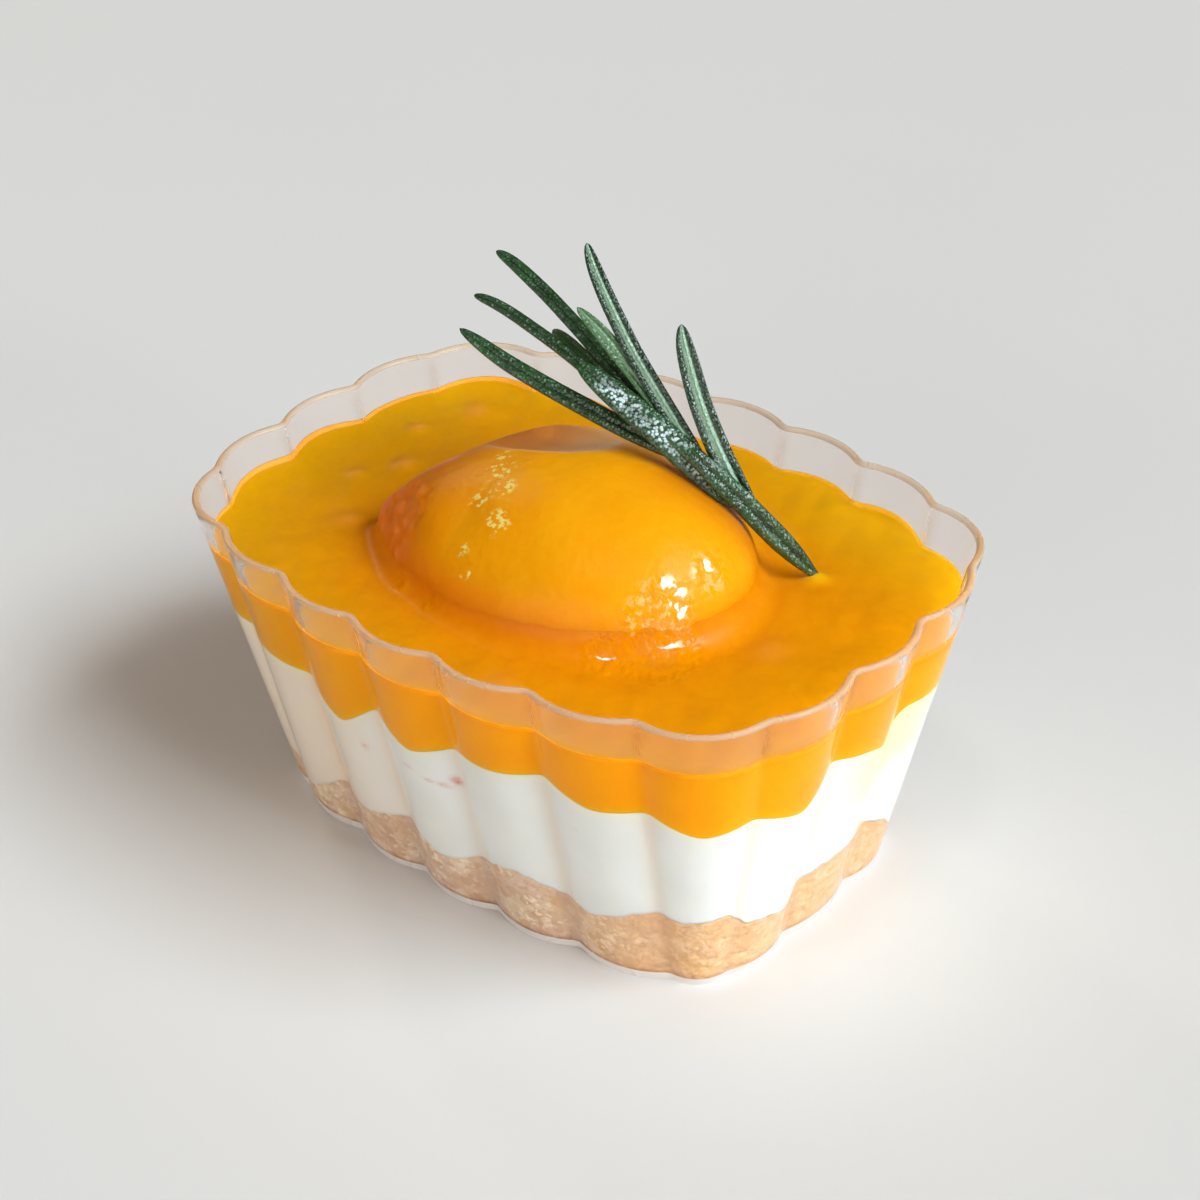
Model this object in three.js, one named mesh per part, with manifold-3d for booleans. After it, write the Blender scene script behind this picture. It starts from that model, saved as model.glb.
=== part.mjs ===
import * as THREE from 'three';
import { mergeVertices } from 'three/addons/utils/BufferGeometryUtils.js';
import Module from 'manifold-3d';

// Mango cheesecake in a clear fluted cup: a biscuit base, a cream layer and mango puree, with a glazed
// piece of mango half sunk in the puree and a sprig of rosemary standing in it.
// Millimetres, +Z up, +X along the cup. The origin is under the middle of the foot.

const wasm = await Module();
wasm.setup();

// The cup is an oblong tub with twenty flutes: five along each side, three across each end and one on
// each corner. Between two grooves a flute is an arc that bulges outwards, and the grooves stand on
// gently bowed sides and ends. Each flute runs straight from the foot to the wider rim.
const CUP = { height: 44.8, wall: 1.0, floor: 1.2, footRound: 1.2, innerRound: 1.5, lipRound: 0.3 };
const RIM = {
  sideHalf: 34.6, sideBow: 120, sidePitch: 13.2, sideBulge: 1.95,
  endHalf: 46.8, endBow: 104, endGrooves: [6.75, 20.3], endBulge: 2.1,
  cornerBulge: 3.3,
};
const FOOT = {
  sideHalf: 24.6, sideBow: 131, sidePitch: 12.4, sideBulge: 1.8,
  endHalf: 37.0, endBow: 140, endGrooves: [6.5, 16.3], endBulge: 1.2,
  cornerBulge: 1.4,
};
const FLUTE_STEPS = 6;
// Shares of the way out from the axis at which a layer's flat top and underside have a turn of points.
const MIDDLE_TURNS = [0.35, 0.7];

// Heights at which the layers meet, above the table. The spooned layers wander from them in waves of a
// size, each layer's shifted against the other's.
const LEVELS = { biscuit: 9.6, cream: 28.4, puree: 38.3 };
const WANDER = { biscuit: { size: 1.3, shift: 0.9 }, cream: { size: 1.1, shift: 2.3 } };
const WAVES = { alongLength: 6.1, acrossLength: 4.7, slantLength: 3.9, along: 0.5, across: 0.35, slant: 0.3 };
// Bodies that touch stay this far apart.
const GAP = 0.3;

// The mango is the cheek of a fruit, a dome that leans down towards -X, where it is squarer. Flat cuts
// give its underside in the puree, the steep end with its slope, the two facets that trim its front
// corner and the slice off its top.
const MANGO = {
  centre: [-3.3, 0.3, 36.4], halfLength: 28.2, halfWidth: 20.7, halfHeight: 15.9,
  yaw: -6.7, pitch: 11, squareness: 0.9, facesAround: 40, facesUp: 28,
};
const MANGO_CORNER = [-24.8, -10.9, 42];
const MANGO_CUTS = {
  underside: { through: [0, 0, 33.2], facing: [0, 0, -1] },
  end: { through: MANGO_CORNER, facing: [-1, 0.03, 0.14] },
  slope: { through: MANGO_CORNER, facing: [-0.75, 0.14, 0.64] },
  corner: { through: MANGO_CORNER, facing: [-0.58, -0.79, 0.12] },
  facet: { through: [-23.6, -11.2, 42.2], facing: [-0.44, -0.72, 0.55] },
  slice: { through: [-6.3, -0.1, 51.9], facing: [-0.25, 0.25, 1] },
};
const KNIFE_SIZE = 80;

// The skirt of puree that climbs the mango. Its profile gives how far each turn stands outside the shore,
// in reaches, and how high it is, in rises.
const SKIRT = { rise: 1.1, reach: 2.6, profile: [[1, 0], [0.35, 0.35], [-0.5, 1.5]] };

// The stem leans back over the mango. A leaf is given by the share of the stem at which it leaves, the
// point that bends it, its tip, its width and the side on which its smooth upper face lies.
const STEM = {
  radius: 0.7, steps: 10, sides: 8,
  path: [[27.3, 15.9, 36.6], [22.3, 11.7, 42.7], [17.7, 9.4, 48.2], [12.6, 8, 52.5], [0.8, 7, 58.2]],
};
const FRONT = [0.55, -0.64, 0.54];
const BACK = [-0.55, 0.64, -0.54];
// A leaf's upper face has a cheek on either side of the groove, at a share of the half width. Its width
// swells as a flat arch with a lean towards the base, and it ends in a point as a share of the width.
const LEAF = {
  thickness: 1.1, groove: 0.35, cheek: 0.55, arch: 0.8, lean: 0.2, blunt: 0.2, point: 0.2, steps: 9,
};
const LEAVES = [
  { at: 0.77, bend: [-9.5, 5, 56.5], tip: [-22.5, 3.5, 62], width: 2.6, upper: FRONT },
  { at: 0.88, bend: [-18, 9, 65], tip: [-24, 8, 64.5], width: 1.8, upper: FRONT },
  { at: 0.84, bend: [-17, 13.5, 67], tip: [-24, 12.5, 69], width: 2.2, upper: FRONT },
  { at: 0.95, bend: [-11, 11, 62], tip: [-13.5, 11, 61.5], width: 1.7, upper: FRONT },
  { at: 0.75, bend: [2.5, 10, 60.5], tip: [-7.5, 9, 67.5], width: 2.5, upper: BACK },
  { at: 0.7, bend: [-3.5, 10, 66], tip: [-9.5, 13.5, 74], width: 2.5, upper: BACK },
  { at: 0.38, bend: [10.5, 9.5, 58], tip: [6, 12.5, 68], width: 3.2, upper: BACK },
  { at: 0.5, bend: [7, 7.5, 55.5], tip: [-6, 7, 61], width: 3.4, upper: FRONT },
  { at: 0.14, bend: [18, 8, 49.5], tip: [11.5, 7, 55], width: 2.9, upper: FRONT },
];

// Points where two flutes meet, anticlockwise from the +X end. The bow lowers a groove by the rise of
// its circle: bow - sqrt(bow^2 - distance^2).
function grooves(size) {
  const fall = (bow, away) => bow - Math.sqrt(bow * bow - away * away);
  const end = size.endGrooves.map((y) => [size.endHalf - fall(size.endBow, y), y]);
  const side = [2.5, 1.5, 0.5].map((count) => {
    const x = count * size.sidePitch;
    return [x, size.sideHalf - fall(size.sideBow, x)];
  });
  const quarter = [...end, ...side];
  const half = [...quarter, ...quarter.map(([x, y]) => [-x, y]).reverse()];
  const all = [...half, ...half.map(([x, y]) => [-x, -y])];
  return all.map(([x, y]) => new THREE.Vector2(x, y));
}

// How far each flute bulges, in the same order as the grooves that they start from.
function bulges(size) {
  const { endBulge, cornerBulge, sideBulge } = size;
  const sides = new Array(5).fill(sideBulge);
  const half = [endBulge, cornerBulge, ...sides, cornerBulge, endBulge, endBulge];
  return [...half, ...half];
}

// The outline at the foot or the rim: an arc over each pair of grooves, FLUTE_STEPS chords to an arc.
function outline(size) {
  const corners = grooves(size);
  const depths = bulges(size);
  const points = [];
  corners.forEach((from, index) => {
    const to = corners[(index + 1) % corners.length];
    const along = to.clone().sub(from);
    const half = along.length() / 2;
    along.normalize();
    const out = new THREE.Vector2(along.y, -along.x);
    const depth = depths[index];
    const radius = (half * half + depth * depth) / (2 * depth);
    const sweep = 2 * Math.atan2(depth, half);
    for (let step = 0; step < FLUTE_STEPS; step += 1) {
      const angle = sweep * ((2 * step) / FLUTE_STEPS - 1);
      const forward = half + radius * Math.sin(angle);
      const away = radius * Math.cos(angle) - radius + depth;
      points.push(from.clone().addScaledVector(along, forward).addScaledVector(out, away));
    }
  });
  return points;
}

const FOOT_LINE = outline(FOOT);
const RIM_LINE = outline(RIM);
const STATIONS = RIM_LINE.length;

function outerPoint(station, z) {
  const index = (station + STATIONS) % STATIONS;
  return FOOT_LINE[index].clone().lerp(RIM_LINE[index], z / CUP.height);
}

// A point of the wall at a station round the cup, moved in from its outer face by inset.
function wallPoint(station, z, inset) {
  const along = outerPoint(station + 1, z).sub(outerPoint(station - 1, z)).normalize();
  const inwards = new THREE.Vector2(-along.y, along.x);
  return outerPoint(station, z).addScaledVector(inwards, inset);
}

// One turn round the cup. The height is a number or a function of x and y, looked up where the wall
// stands halfway up the cup. share draws the turn in towards the middle of the cup.
function turn(height, inset, share = 1) {
  const heightAt = typeof height === 'function' ? height : () => height;
  const points = [];
  for (let station = 0; station < STATIONS; station += 1) {
    const halfway = wallPoint(station, CUP.height / 2, inset).multiplyScalar(share);
    const z = heightAt(halfway.x, halfway.y);
    const spot = wallPoint(station, z, inset).multiplyScalar(share);
    points.push(new THREE.Vector3(spot.x, spot.y, z));
  }
  return points;
}

// A closed skin over turns of equal length, each end filled to the middle of its last turn.
function skin(turns, first, last) {
  const count = turns[0].length;
  const points = [first, ...turns.flat(), last];
  const faces = [];
  for (let step = 0; step < count; step += 1) {
    const next = (step + 1) % count;
    faces.push(0, 1 + next, 1 + step);
    for (let row = 0; row + 1 < turns.length; row += 1) {
      const low = 1 + row * count;
      const high = low + count;
      faces.push(low + step, low + next, high + next);
      faces.push(low + step, high + next, high + step);
    }
    const top = 1 + (turns.length - 1) * count;
    faces.push(points.length - 1, top + step, top + next);
  }
  const geometry = new THREE.BufferGeometry();
  geometry.setAttribute('position', new THREE.BufferAttribute(
    new Float32Array(points.flatMap((point) => point.toArray())), 3));
  geometry.setIndex(faces);
  return geometry;
}

function solid(geometry) {
  const bare = geometry.clone();
  bare.deleteAttribute('normal');
  bare.deleteAttribute('uv');
  const merged = mergeVertices(bare, 1e-4);
  return new wasm.Manifold(new wasm.Mesh({
    numProp: 3,
    vertProperties: new Float32Array(merged.attributes.position.array),
    triVerts: new Uint32Array(merged.index.array),
  }));
}

function geometryOf(body) {
  const mesh = body.getMesh();
  const geometry = new THREE.BufferGeometry();
  geometry.setAttribute('position', new THREE.BufferAttribute(new Float32Array(mesh.vertProperties), 3));
  geometry.setIndex(Array.from(mesh.triVerts));
  return geometry;
}

function cup() {
  const { height, wall, floor, footRound, innerRound, lipRound } = CUP;
  const softened = 0.3;
  const turns = [
    turn(0, footRound),
    turn(footRound * softened, footRound * softened),
    turn(footRound, 0),
    turn(height - lipRound, 0),
    turn(height, lipRound),
    turn(height, wall - lipRound),
    turn(height - lipRound, wall),
    turn(floor + innerRound, wall),
    turn(floor, wall + innerRound),
  ];
  return skin(turns, new THREE.Vector3(0, 0, 0), new THREE.Vector3(0, 0, floor));
}

// A spooned layer meets the next one in low waves: level + size times three sines, one along the cup,
// one across it and one at a slant.
function waves(level, { size, shift }) {
  return (x, y) => {
    const along = WAVES.along * Math.sin(x / WAVES.alongLength + shift);
    const across = WAVES.across * Math.sin(y / WAVES.acrossLength + 2 * shift);
    const slant = WAVES.slant * Math.sin((x - y) / WAVES.slantLength);
    return level + size * (along + across + slant);
  };
}

const biscuitTop = waves(LEVELS.biscuit, WANDER.biscuit);
const creamTop = waves(LEVELS.cream, WANDER.cream);
const raised = (surface) => (x, y) => surface(x, y) + GAP;

// Turns of a layer's flat top, from the wall to near the axis, and of its underside the other way.
function topTurns(height, inset) {
  const shares = [1, ...MIDDLE_TURNS.toReversed()];
  return shares.map((share) => turn(height, inset, share));
}

function underTurns(height, inset) {
  return topTurns(height, inset).reverse();
}

function biscuitBase() {
  const low = CUP.floor + GAP;
  const clear = CUP.wall + GAP;
  const turns = [
    turn(low, clear + CUP.innerRound),
    turn(low + CUP.innerRound, clear),
    ...topTurns(biscuitTop, clear),
  ];
  return skin(turns, new THREE.Vector3(0, 0, low), new THREE.Vector3(0, 0, biscuitTop(0, 0)));
}

function creamLayer() {
  const under = raised(biscuitTop);
  const clear = CUP.wall + GAP;
  const turns = [...underTurns(under, clear), ...topTurns(creamTop, clear)];
  return skin(turns, new THREE.Vector3(0, 0, under(0, 0)), new THREE.Vector3(0, 0, creamTop(0, 0)));
}

// The dome is a superellipsoid, a ball stretched to three half sizes. The power that makes it squarer
// rises from 2, a plain ball, at its middle to 2 + squareness at its -X end. The skin and its cuts are
// moved outwards by grow.
function mangoSolid(grow = 0) {
  const ball = new THREE.SphereGeometry(1, MANGO.facesAround, MANGO.facesUp);
  ball.rotateX(Math.PI / 2);
  const spots = ball.attributes.position;
  for (let index = 0; index < spots.count; index += 1) {
    const spot = new THREE.Vector3().fromBufferAttribute(spots, index);
    const power = 2 + MANGO.squareness * Math.max(0, -spot.x);
    const sum = spot.toArray().reduce((total, part) => total + Math.abs(part) ** power, 0);
    spots.setXYZ(index, ...spot.multiplyScalar(sum ** (-1 / power)).toArray());
  }
  ball.scale(MANGO.halfLength + grow, MANGO.halfWidth + grow, MANGO.halfHeight + grow);
  ball.rotateY(THREE.MathUtils.degToRad(-MANGO.pitch));
  ball.rotateZ(THREE.MathUtils.degToRad(MANGO.yaw));
  ball.translate(...MANGO.centre);
  const cuts = Object.values(MANGO_CUTS).map((cut) => knife(cut, grow));
  return cuts.reduce((body, blade) => body.subtract(blade), solid(ball));
}

// A block with one face on the plane of a cut, on the side that the cut faces.
function knife({ through, facing }, grow) {
  const out = new THREE.Vector3(...facing).normalize();
  const block = new THREE.BoxGeometry(KNIFE_SIZE, KNIFE_SIZE, KNIFE_SIZE);
  block.applyQuaternion(new THREE.Quaternion().setFromUnitVectors(new THREE.Vector3(0, 0, 1), out));
  const middle = new THREE.Vector3(...through).addScaledVector(out, grow + KNIFE_SIZE / 2);
  block.translate(middle.x, middle.y, middle.z);
  return solid(block);
}

// Where the mango meets the level of the puree: the ellipse of the dome at that height, seen from above.
function shoreline(angle, share) {
  const yaw = THREE.MathUtils.degToRad(MANGO.yaw);
  const length = MANGO.halfLength * share;
  const width = MANGO.halfWidth * share;
  const turned = angle - yaw;
  const radius = 1 / Math.hypot(Math.cos(turned) / length, Math.sin(turned) / width);
  return new THREE.Vector2(radius * Math.cos(angle), radius * Math.sin(angle));
}

// The puree climbs the mango in a short skirt, so its top runs from the wall to the shore and up.
function mangoPuree() {
  const clear = CUP.wall + GAP;
  const under = raised(creamTop);
  const middle = new THREE.Vector2(MANGO.centre[0], MANGO.centre[1]);
  const edge = turn(LEVELS.puree, clear);
  const towards = (share, rise) => edge.map((point) => {
    const angle = Math.atan2(point.y - middle.y, point.x - middle.x);
    const spot = shoreline(angle, share).add(middle);
    return new THREE.Vector3(spot.x, spot.y, LEVELS.puree + rise);
  });
  const shore = towards(1, 0);
  const halfway = edge.map((point, index) => point.clone().lerp(shore[index], 0.5));
  const reach = SKIRT.reach / MANGO.halfWidth;
  const skirt = SKIRT.profile.map(([out, up]) => towards(1 + reach * out, SKIRT.rise * up));
  const turns = [...underTurns(under, clear), edge, halfway, ...skirt];
  const top = new THREE.Vector3(middle.x, middle.y, skirt.at(-1)[0].z);
  const whole = solid(skin(turns, new THREE.Vector3(0, 0, under(0, 0)), top));
  return geometryOf(whole.subtract(mangoSolid(GAP)).subtract(stemSolid(GAP)));
}

const stemLine = new THREE.CatmullRomCurve3(STEM.path.map((point) => new THREE.Vector3(...point)));

function stemSolid(grow = 0) {
  const [root, ...rest] = stemLine.points;
  const start = root.clone().addScaledVector(stemLine.getTangent(0), -grow);
  const route = new THREE.CatmullRomCurve3([start, ...rest]);
  const section = new THREE.Shape();
  section.absarc(0, 0, STEM.radius + grow, 0, 2 * Math.PI, false);
  const options = { steps: STEM.steps, extrudePath: route, curveSegments: STEM.sides / 2 };
  return solid(new THREE.ExtrudeGeometry(section, options));
}

// A leaf is a thin blade: an edge, a cheek, the groove along the middle of its upper face, the other
// cheek and edge, and the rib beneath. It is widest in the middle and narrows to both ends.
function leafSolid({ at, bend, tip, width, upper }) {
  const root = stemLine.getPoint(at);
  const curve = new THREE.QuadraticBezierCurve3(root, new THREE.Vector3(...bend), new THREE.Vector3(...tip));
  const section = [
    [-1, 0], [0, -1], [1, 0], [LEAF.cheek, 1], [0, 1 - LEAF.groove], [-LEAF.cheek, 1],
  ];
  const turns = [];
  for (let step = 0; step <= LEAF.steps; step += 1) {
    const share = step / LEAF.steps;
    const swell = LEAF.arch * Math.sqrt(1 - (2 * share - 1) ** 4) + LEAF.lean * (1 - share);
    const half = Math.max(LEAF.blunt, swell) * (width / 2);
    const thick = Math.max(LEAF.blunt, swell) * (LEAF.thickness / 2);
    const along = curve.getTangent(share);
    const across = new THREE.Vector3(...upper).cross(along).normalize();
    const up = along.clone().cross(across);
    turns.push(section.map(([side, height]) => curve.getPoint(share)
      .addScaledVector(across, side * half).addScaledVector(up, height * thick)));
  }
  const tipEnd = curve.getPoint(1).addScaledVector(curve.getTangent(1), width * LEAF.point);
  const rootEnd = curve.getPoint(0).addScaledVector(curve.getTangent(0), -width * LEAF.point);
  return solid(skin(turns, rootEnd, tipEnd));
}

function rosemarySprig() {
  return geometryOf(LEAVES.reduce((body, leaf) => body.add(leafSolid(leaf)), stemSolid()));
}

const FINISHES = {
  clearPlastic: { color: 0xdcdad6, roughness: 0.06, metalness: 0, transparent: true, opacity: 0.3 },
  crumb: { color: 0xd2a878, roughness: 0.95, metalness: 0 },
  cream: { color: 0xf4f1e6, roughness: 0.55, metalness: 0 },
  puree: { color: 0xee9a06, roughness: 0.2, metalness: 0 },
  fruit: { color: 0xf7a20c, roughness: 0.15, metalness: 0 },
  herb: { color: 0x35603a, roughness: 0.45, metalness: 0 },
};

function piece(name, geometry, finish) {
  const mesh = new THREE.Mesh(geometry, new THREE.MeshStandardMaterial(FINISHES[finish]));
  mesh.name = name;
  return mesh;
}

const part = new THREE.Group();
part.add(piece('cup', cup(), 'clearPlastic'));
part.add(piece('biscuit_base', biscuitBase(), 'crumb'));
part.add(piece('cream_layer', creamLayer(), 'cream'));
part.add(piece('mango_puree', mangoPuree(), 'puree'));
part.add(piece('mango_piece', geometryOf(mangoSolid()), 'fruit'));
part.add(piece('rosemary_sprig', rosemarySprig(), 'herb'));

export default part;
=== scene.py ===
"""Mango cheesecake in a clear fluted cup: biscuit crumbs, cream and mango puree, a glazed piece of mango half
sunk in the puree and a sprig of rosemary. Sizes are in millimetres until a mesh is made."""
import math
from types import SimpleNamespace

import bpy
import numpy as np
from mathutils import Matrix, Vector


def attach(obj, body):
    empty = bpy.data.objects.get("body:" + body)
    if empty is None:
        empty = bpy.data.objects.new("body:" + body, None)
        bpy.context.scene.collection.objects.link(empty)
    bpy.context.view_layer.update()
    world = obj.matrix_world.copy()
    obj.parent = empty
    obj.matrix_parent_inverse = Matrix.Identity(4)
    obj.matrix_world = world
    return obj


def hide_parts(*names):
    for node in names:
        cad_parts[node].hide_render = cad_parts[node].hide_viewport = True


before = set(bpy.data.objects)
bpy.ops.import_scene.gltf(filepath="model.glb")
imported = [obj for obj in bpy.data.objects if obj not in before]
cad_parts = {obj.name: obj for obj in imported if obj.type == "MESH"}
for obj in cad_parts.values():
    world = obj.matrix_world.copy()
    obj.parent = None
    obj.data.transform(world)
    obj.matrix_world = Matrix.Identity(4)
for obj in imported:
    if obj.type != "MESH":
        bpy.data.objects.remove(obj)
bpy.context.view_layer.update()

MM = 0.001

# The cup: flutes are arcs between grooves, and each runs straight from the foot to the wider rim.
CUP = SimpleNamespace(height=44.8, wall=1.0, floor=1.2, foot_round=0.4, foot_band=1.4, inner_round=1.5)
RIM = SimpleNamespace(side_half=34.6, side_bow=120, side_pitch=13.2, side_bulge=1.95,
                      end_half=46.8, end_bow=104, end_grooves=(6.75, 20.3), end_bulge=2.1, corner_bulge=3.3)
FOOT = SimpleNamespace(side_half=24.6, side_bow=131, side_pitch=12.4, side_bulge=1.8,
                       end_half=37.0, end_bow=140, end_grooves=(6.5, 16.3), end_bulge=1.2, corner_bulge=1.4)
FLUTES = 20
FLUTE_STEPS = 32
# About how far one station of the wall is from the next.
STATION_PITCH = 0.41
# The width of the window that rounds the grooves, in millimetres.
GROOVE_ROUND = 0.5
# How deep the contents reach into the wall, so that no air shows between them and the plastic.
BITE = 0.5

# Heights at which the layers show through the wall, one pair (place, height) for each turn of the line.
# A place counts flutes from the middle groove of the +X end, anticlockwise.
CRUMB_TOP = ((0.1, 11.2), (0.5, 9.0), (0.9, 5.4), (1.5, 7.5), (3, 9.2), (5, 8.2), (7, 9.8), (9.5, 8.6),
             (11.5, 6.4), (12.3, 3.8), (12.9, 8.8), (13.4, 8.4), (14.0, 10.6), (14.5, 8.0), (15.0, 10.2),
             (15.5, 12.4), (15.9, 10.4), (16.2, 9.0), (16.45, 10.0), (16.9, 12.3), (17.1, 11.8), (17.5, 11.9),
             (17.9, 12.6), (18.15, 9.4), (18.5, 8.8), (18.8, 7.6), (19.0, 10.4), (19.5, 11.4))
CREAM_TOP = ((0.1, 30.4), (0.6, 30.0), (1.5, 29.0), (3.5, 28.2), (6, 29.0), (8.5, 27.6), (10.5, 28.4),
             (12.2, 28.6), (13.0, 28.0), (13.5, 24.6), (14.0, 29.6), (14.45, 26.4), (15.0, 29.4), (15.5, 29.8),
             (16.0, 31.0), (16.5, 29.0), (17.0, 29.9), (17.5, 27.4), (18.0, 28.6), (18.6, 26.2), (19.0, 30.6),
             (19.5, 29.0), (19.9, 26.4))
PUREE_TOP = ((0.5, 37.8), (1.5, 38.4), (2.6, 39.6), (4.5, 38.7), (6.2, 38.9), (7.4, 40.2), (8.5, 39.4),
             (9.5, 40.5), (10.5, 40.3), (11.5, 38.8), (13.5, 38.4), (17.5, 38.4))
# The height of the puree away from the wall and the fruit.
LEVEL = 38.3

FRUIT = SimpleNamespace(centre=np.array((-3.3, 0.3, 36.4)), half=np.array((28.2, 20.7, 15.9)), yaw=-6.7,
                        pitch=11, squareness=0.9)
# Each cut takes away what lies beyond a plane. The larger its number, the crisper the edge it leaves.
FRUIT_CORNER = (-24.8, -10.9, 42)
FRUIT_CUTS = SimpleNamespace(
    under=((0, 0, 33.2), (0, 0, -1), 30),
    end=(FRUIT_CORNER, (-1, 0.03, 0.14), 90),
    slope=(FRUIT_CORNER, (-0.75, 0.14, 0.64), 70),
    corner=(FRUIT_CORNER, (-0.58, -0.79, 0.12), 60),
    facet=((-23.6, -11.2, 42.2), (-0.44, -0.72, 0.55), 70),
    slice=((-6.3, -0.1, 51.9), (-0.25, 0.25, 1), 120))
ALL_CUTS = tuple(vars(FRUIT_CUTS).values())

STEM_PATH = ((27.3, 15.9, 36.6), (22.3, 11.7, 42.7), (17.7, 9.4, 48.2), (12.6, 8, 52.5), (0.8, 7, 58.2))
STEM_RADIUS = 0.8
FRONT = (0.55, -0.64, 0.54)
BACK = (-0.55, 0.64, -0.54)


def leaf_row(at, bend, tip, width, upper, wet=0.35, pale=0.0, slim=0.5):
    """One leaf: where it leaves the stem, the point that bends it, its tip, width and upper side. The larger
    slim, the more slowly it widens from its foot."""
    return SimpleNamespace(at=at, bend=bend, tip=tip, width=width, upper=upper, wet=wet, pale=pale, slim=slim)


# wet sets how strongly a leaf carries painted highlights.
LEAVES = (
    leaf_row(0.77, (-9.5, 5, 56.5), (-22.5, 3.5, 62), 2.6, FRONT, wet=0.6),
    leaf_row(0.88, (-18, 9, 65), (-24, 8, 64.5), 1.8, FRONT, wet=0.5),
    leaf_row(0.84, (-17, 13.5, 67), (-24, 12.5, 69), 2.2, FRONT, wet=0.3),
    leaf_row(0.95, (-11, 11, 62), (-13.5, 11, 61.5), 1.7, FRONT, pale=0.4),
    leaf_row(0.75, (2.5, 10, 60.5), (-7.5, 9, 67.5), 2.5, BACK, pale=0.6),
    leaf_row(0.7, (-3.5, 10, 66), (-9.5, 13.5, 74), 2.5, BACK),
    leaf_row(0.38, (10.5, 9.5, 58), (6, 12.5, 68), 3.2, BACK),
    leaf_row(0.5, (7.8, 6.5, 56.3), (-5.2, 6, 61.8), 4.0, FRONT, wet=1.0),
    leaf_row(0.05, (18.6, 8.6, 49.5), (11.5, 7, 55), 3.2, FRONT, wet=0.5, slim=1.5))


# Noise for relief, worked out for whole arrays of points.

def wobble(points, size, seed, count=28):
    """Smooth noise of about -1 to 1: a sum of sines along seeded directions, with wave lengths near size."""
    draw = np.random.default_rng(seed)
    turns = draw.normal(size=(count, 3))
    turns /= np.linalg.norm(turns, axis=1, keepdims=True)
    pace = 2 * np.pi / (size * draw.uniform(0.7, 1.5, count))
    phase = draw.uniform(0, 2 * np.pi, count)
    return np.sin(points @ (turns * pace[:, None]).T + phase).sum(-1) / math.sqrt(2 * count)


def scatter_number(cells, seed):
    """Three numbers from 0 to 1 for each whole-numbered cell: the loose digits of a large sine."""
    weights = np.array([[12.9898, 78.233, 37.719], [26.651, 9.131, 57.467], [63.727, 41.113, 19.371]])
    return np.modf(np.abs(np.sin(cells @ weights.T + seed)) * 43758.5453)[0]


def cobbles(points, size, seed):
    """Distance in cell sizes to the nearest of one loose point in each cell of a lattice."""
    spots = points / size
    home = np.floor(spots)
    nearest = np.full(spots.shape[:-1], 9.0)
    for step in np.ndindex(3, 3, 3):
        cells = home + np.array(step) - 1
        centres = cells + scatter_number(cells, seed)
        nearest = np.minimum(nearest, np.linalg.norm(spots - centres, axis=-1))
    return nearest


def ease(low, high, values):
    """Rises smoothly from 0 at low to 1 at high."""
    share = np.clip((values - low) / (high - low), 0, 1)
    return share * share * (3 - 2 * share)


def bell(away, width):
    """Falls off from 1 as exp(-(away / width)^2)."""
    return np.exp(-(away / width) ** 2)


# Meshes from grids of points.

def closed_skin(rings, start):
    """Points and faces over rings of equal length, each end closed to the mean of its last ring. The rings
    turn anticlockwise about the way they follow each other, so the faces point outwards. The first point has
    the number start."""
    rows, count = rings.shape[:2]
    points = np.concatenate([rings.reshape(-1, 3), rings[:1].mean(1), rings[-1:].mean(1)])
    here = start + np.arange(count)
    ahead = np.roll(here, -1)
    low = (np.arange(rows - 1) * count)[:, None]
    walls = np.stack([low + here, low + ahead, low + count + ahead, low + count + here], axis=-1)
    end = start + rows * count
    top = (rows - 1) * count
    first = np.stack([np.full(count, end), ahead, here], axis=-1)
    last = np.stack([np.full(count, end + 1), top + here, top + ahead], axis=-1)
    return points, walls.reshape(-1, 4).tolist() + first.tolist() + last.tolist()


def with_ends(numbers):
    """Numbers for the points of a closed skin: one for each point of the rings and one for each end."""
    return np.concatenate([numbers.ravel(), [numbers[0].mean(), numbers[-1].mean()]])


def put_in_scene(name, data):
    """A new object of that name."""
    made = bpy.data.objects.new(name, data)
    bpy.context.scene.collection.objects.link(made)
    return made


def make_piece(name, materials, slot, node, *skins):
    """A smooth mesh of closed skins in millimetres, riding on the part in place of a node. Each skin is its
    rings and named numbers for their points."""
    points, faces, layers = np.empty((0, 3)), [], {}
    for rings, values in skins:
        more, theirs = closed_skin(rings, len(points))
        points = np.concatenate([points, more])
        faces += theirs
        for key, numbers in values.items():
            layers.setdefault(key, []).append(with_ends(numbers))
    mesh = bpy.data.meshes.new(name)
    mesh.from_pydata(points * MM, [], faces)
    mesh.shade_smooth()
    for key, numbers in layers.items():
        layer = mesh.attributes.new(key, "FLOAT", "POINT")
        layer.data.foreach_set("value", np.concatenate(numbers).astype(np.float32))
    for material in materials:
        mesh.materials.append(material)
    piece = put_in_scene(name, mesh)
    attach(piece, "root")
    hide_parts(node)
    return piece


def paint_bands(piece, bands):
    """Gives the faces of a closed skin between rings (from, to) the material of that number."""
    marks = np.zeros(len(piece.data.polygons), dtype=np.int32)
    for start, end, index in bands:
        marks[start * STATIONS:end * STATIONS] = index
    piece.data.polygons.foreach_set("material_index", marks)


def finer(rings):
    """The same rings with a new point half way between each two."""
    halves = (rings + np.roll(rings, -1, axis=1)) / 2
    return np.stack([rings, halves], axis=2).reshape(len(rings), -1, *rings.shape[2:])


# The fluted wall.

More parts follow.
